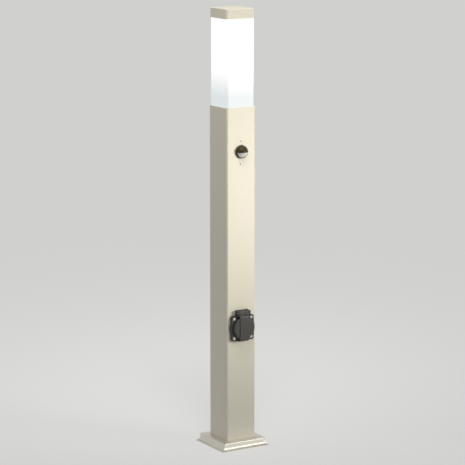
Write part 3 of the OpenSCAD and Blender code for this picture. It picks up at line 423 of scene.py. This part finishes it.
coil += [(coil_half, hinge_z - down, out) for down, out in (
    (0.0022, hinge_out - coil_r + 0.0001), (0.0046, neck_out - 0.0015), (0.0062, neck_out - 0.0008),
    (0.0074, neck_out - 0.0007))]
coil_route = [(x, front_y - out, z) for x, z, out in coil]
spring = placed(drawn_along("lid_spring_coil", coil_route, spring_wire_r, between=3),
                "lid_spring_coil", None, "lid_spring")
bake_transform(spring)
finished(spring, spring_wire)

# Light head. A bent sheet bracket holds an opal acrylic square tube between two silicone seals,
# under a pressed satin cap.
finished(eased("lamp_bracket", "post", "bent_bracket", edge=0.0002), galvanised)
silicone = Finish("pale silicone", {"Subsurface Weight": 0.15, "Subsurface Scale": 0.002})
mould_marks = silicone.grain(0.001)
pale_silicone = silicone.shows(
    colour=silicone.blend(mould_marks, (0.60, 0.60, 0.58), (0.72, 0.72, 0.70)),
    roughness=0.5 + mould_marks * 0.2, relief=mould_marks, depth=0.00004, strength=0.5)
for node in ("diffuser_seal", "cap_seal"):
    finished(eased(node, "post", node + "_ring", edge=0.0004), pale_silicone)

dimmest_z, full_glow_z = 0.688, 0.738
opal = Finish("lit opal acrylic", {
    "Emission Strength": 0.92, "Coat Weight": 0.15, "Coat Roughness": 0.12, "IOR": 1.49})
near_foot = 1 - opal.across(2).clipped(dimmest_z, full_glow_z)
cast = opal.grain(0.03, stretch=(1, 1, 3), detail=2.0)
opal.put(opal.shader, {"Emission Color": opal.blend(near_foot, (1.0, 1.0, 1.0), (0.67, 0.715, 0.735))})
lit_opal = opal.shows(colour=opal.blend(cast, (0.14, 0.14, 0.14), (0.18, 0.18, 0.18)),
                      roughness=0.25 + cast * 0.08, relief=cast, depth=0.00005, strength=0.2)
finished(eased("diffuser", "post", "opal_tube", edge=0.0004), lit_opal)
finished(eased("top_cap", "post", "pressed_cap", edge=0.0002), satin_stainless)

# Lampholder and lamp. A glazed ceramic holder, screwed to the bracket, with a shell of thin brass. It
# takes a frosted globe on an aluminium cap, and both threads are rolled into their sheet.
glaze = Finish("glazed ceramic", {"Coat Weight": 0.8, "Coat Roughness": 0.06})
crawl = glaze.grain(0.006)
glazed_ceramic = glaze.shows(colour=glaze.blend(crawl, (0.80, 0.79, 0.74), (0.87, 0.86, 0.82)),
                             roughness=0.22 + crawl * 0.1, relief=crawl, depth=0.0001, strength=0.3)
finished(eased("lampholder_body", "post", "glazed_holder", edge=0.0008, steps=3),
         glazed_ceramic)
finished(eased("lampholder_screws", "post", "holder_screws", edge=0.0001), bright_steel)
finished(eased("lampholder_contact", "post", "holder_contact", edge=0.0001), contact_brass)

pitch, ridge_r, sheet_t, ridge_points, turn_steps, same_ridge = 0.00363, 0.00035, 0.0002, 8, 48, 2e-5


def threaded(radius, low, high):
    """A sheet tube with a rolled round thread: a ridge turned as it rises, with both ends cut flat."""
    tube, turns = bmesh.new(), math.ceil((high - low) / pitch) + 2
    shares = [point / ridge_points for point in range(ridge_points + 1)]
    ridge = [tube.verts.new((radius + ridge_r * math.cos(2 * math.pi * share), 0,
                             low + pitch * (share - 1))) for share in shares]
    edges = [tube.edges.new(pair) for pair in zip(ridge, ridge[1:])]
    bmesh.ops.spin(tube, geom=ridge + edges, cent=(0, 0, 0), axis=(0, 0, 1), angle=2 * math.pi * turns,
                   steps=turn_steps * turns, dvec=(0, 0, pitch / turn_steps))
    bmesh.ops.remove_doubles(tube, verts=tube.verts, dist=same_ridge)
    for height, side in ((low, -1), (high, 1)):
        bmesh.ops.bisect_plane(tube, geom=tube.verts[:] + tube.edges[:] + tube.faces[:], dist=on_cut,
                               plane_co=(0, 0, height), plane_no=(0, 0, side), clear_outer=True)
    bmesh.ops.recalc_face_normals(tube, faces=tube.faces)
    bmesh.ops.solidify(tube, geom=tube.faces[:], thickness=sheet_t)
    return tube


def turned(outline, steps=64):
    """A solid of revolution about the post's axis, from its outline of radius and height."""
    shape = bmesh.new()
    line = [shape.verts.new((radius, 0, height)) for radius, height in outline]
    edges = [shape.edges.new(pair) for pair in zip(line, line[1:])]
    bmesh.ops.spin(shape, geom=line + edges, cent=(0, 0, 0), axis=(0, 0, 1), angle=2 * math.pi,
                   steps=steps, use_merge=True)
    bmesh.ops.remove_doubles(shape, verts=shape.verts, dist=same_point)
    bmesh.ops.recalc_face_normals(shape, faces=shape.faces)
    return shape


def joined(*shapes):
    """Several shapes in one bmesh."""
    whole = shapes[0]
    for shape in shapes[1:]:
        mesh = bpy.data.meshes.new("part of a piece")
        shape.to_mesh(mesh)
        shape.free()
        whole.from_mesh(mesh)
        bpy.data.meshes.remove(mesh)
    return whole


shell_z, shell_h, shell_r = bracket_z + 0.014, 0.026, 0.01372
floor_in_r, floor_out_r, floor_top_z = 0.0121, 0.0141, shell_z + 0.0006
shell_floor = turned([(floor_in_r, shell_z), (floor_out_r, shell_z), (floor_out_r, floor_top_z),
                      (floor_in_r, floor_top_z), (floor_in_r, shell_z)])
finished(placed(joined(threaded(shell_r, floor_top_z, shell_z + shell_h), shell_floor),
                "threaded_shell", "post", "lampholder_shell"), contact_brass)
rolled = Finish("rolled aluminium", {"Metallic": 1.0})
scuffs = rolled.grain(0.002, stretch=(1, 1, 0.3))
rolled_aluminium = rolled.shows(colour=rolled.blend(scuffs, (0.62, 0.62, 0.60), (0.76, 0.76, 0.74)),
                                roughness=0.24 + scuffs * 0.2, relief=scuffs, depth=0.00003, strength=0.4)
lamp_z, rolled_h, rolled_foot, rolled_r = bracket_z + 0.019, 0.025, 0.006, 0.01258
button_flat_r, button_r, glass_r, cone_r, core_r = 0.0032, 0.0045, 0.0075, 0.0128, 0.0118
foot = turned([(radius, lamp_z + up) for radius, up in (
    (0, 0), (button_flat_r, 0), (button_r, 0.0012), (button_r, 0.002), (glass_r, 0.002),
    (cone_r, 0.0048), (cone_r, 0.0062), (core_r, 0.0062), (core_r, rolled_h), (0, rolled_h))])
finished(placed(joined(foot, threaded(rolled_r, lamp_z + rolled_foot, lamp_z + rolled_h)),
                "rolled_lamp_cap", "post", "lamp_cap"), rolled_aluminium)

globe = Finish("frosted globe", {"Emission Strength": 0.8})
frost = globe.grain(0.001)
globe.put(globe.shader, {"Emission Color": globe.blend(frost, (1.0, 0.97, 0.9), (1.0, 0.99, 0.95))})
frosted_globe = globe.shows(colour=globe.blend(frost, (0.85, 0.85, 0.83), (0.9, 0.9, 0.88)),
                            roughness=0.35 + frost * 0.15, relief=frost, depth=0.00003)
finished(eased("lamp_bulb", "post", "blown_globe", edge=0), frosted_globe)

# Base cover. Thin polished stainless, pressed into a box with a flared rim, loose round the post so
# that it slides up off the anchors.
polished = Finish("polished stainless", {"Metallic": 0.65, "IOR": 1.6})
wipe = polished.grain(0.012)
hairlines = polished.grain(0.0005, stretch=(14, 1, 1))
polished_stainless = polished.shows(
    colour=polished.blend(wipe, (0.76, 0.74, 0.66), (0.84, 0.82, 0.74)),
    roughness=0.28 + wipe * 0.08 + hairlines * 0.06, relief=hairlines, depth=0.00001, strength=0.4)
finished(eased("base_cover", "base_cover", "pressed_cover", edge=0), polished_stainless)

# Studio. A plain pale paper floor that runs to the horizon under an even pale sky. Three softboxes
# light the front: one from the right, one from above for the light head, and one low for the cover.
floor_half = 40
floor_shape = bmesh.new()
bmesh.ops.create_grid(floor_shape, x_segments=1, y_segments=1, size=floor_half)
floor_mesh = bpy.data.meshes.new("floor")
floor_shape.to_mesh(floor_mesh)
floor_shape.free()
floor = bpy.data.objects.new("floor", floor_mesh)
bpy.context.scene.collection.objects.link(floor)
paper = Finish("floor paper", {
    "Roughness": 1.0, "Specular IOR Level": 0.0, "Base Color": (0.78, 0.78, 0.775, 1)})
shadow_kept = 0.5


def seen_by_eye(nodes):
    """1 for rays of the camera, of reflections and through glass, and 0 for rays that carry light."""
    rays = nodes.add("ShaderNodeLightPath")
    camera_ray, glossy_ray, through_ray = (Amount(nodes, rays.outputs[kind]) for kind in (
        "Is Camera Ray", "Is Glossy Ray", "Is Transmission Ray"))
    return camera_ray | glossy_ray | through_ray


pale_floor = paper.add("ShaderNodeEmission", {}, {"Color": (1.0, 1.0, 0.99, 1), "Strength": 1.0})
floor_shown = paper.add("ShaderNodeMixShader", {}, {
    0: seen_by_eye(paper) * (1 - shadow_kept), 1: paper.shader.outputs[0], 2: pale_floor.outputs[0]})
paper.put(paper.tree.nodes["Material Output"], {"Surface": floor_shown.outputs[0]})
floor.data.materials.append(paper.material)

studio = bpy.data.worlds.new("studio")
studio.use_nodes = True
sky = ShaderNodes(studio.node_tree)
sky_tint, sky_light, sky_brightness = (1.0, 1.0, 0.985, 1), 0.34, 0.64
lit_by = sky.tree.nodes["Background"]
sky.put(lit_by, {"Color": sky_tint, "Strength": sky_light})
shown_as = sky.add("ShaderNodeBackground", {}, {"Color": sky_tint, "Strength": sky_brightness})
sky_shown = sky.add("ShaderNodeMixShader", {}, {
    0: seen_by_eye(sky), 1: lit_by.outputs[0], 2: shown_as.outputs[0]})
sky.put(sky.tree.nodes["World Output"], {"Surface": sky_shown.outputs[0]})
bpy.context.scene.world = studio


def softbox(name, place, aim, size, watts, spread):
    """A warm rectangular studio lamp that looks at a point, with a grid that keeps its light together."""
    lamp = bpy.data.objects.new(name, bpy.data.lights.new(name, "AREA"))
    lamp.data.shape = "RECTANGLE"
    lamp.data.size, lamp.data.size_y = size
    lamp.data.energy, lamp.data.spread = watts, math.radians(spread)
    lamp.data.color = (1.0, 0.965, 0.87)
    lamp.location = place
    lamp.rotation_euler = (Vector(place) - Vector(aim)).to_track_quat("Z", "Y").to_euler()
    bpy.context.scene.collection.objects.link(lamp)


softbox("post light", (0.75, -1.0, 0.62), aim=(0, 0, 0.44), size=(0.5, 0.5), watts=0.62, spread=39)
softbox("head light", (-0.3, -0.62, 1.83), aim=(0, 0, 0.895), size=(0.4, 0.4), watts=0.81, spread=41)
softbox("foot light", (0.55, -0.9, 0.06), aim=(0, 0, -0.02), size=(0.4, 0.05), watts=0.016, spread=8)

bpy.context.scene.view_settings.view_transform = "Standard"
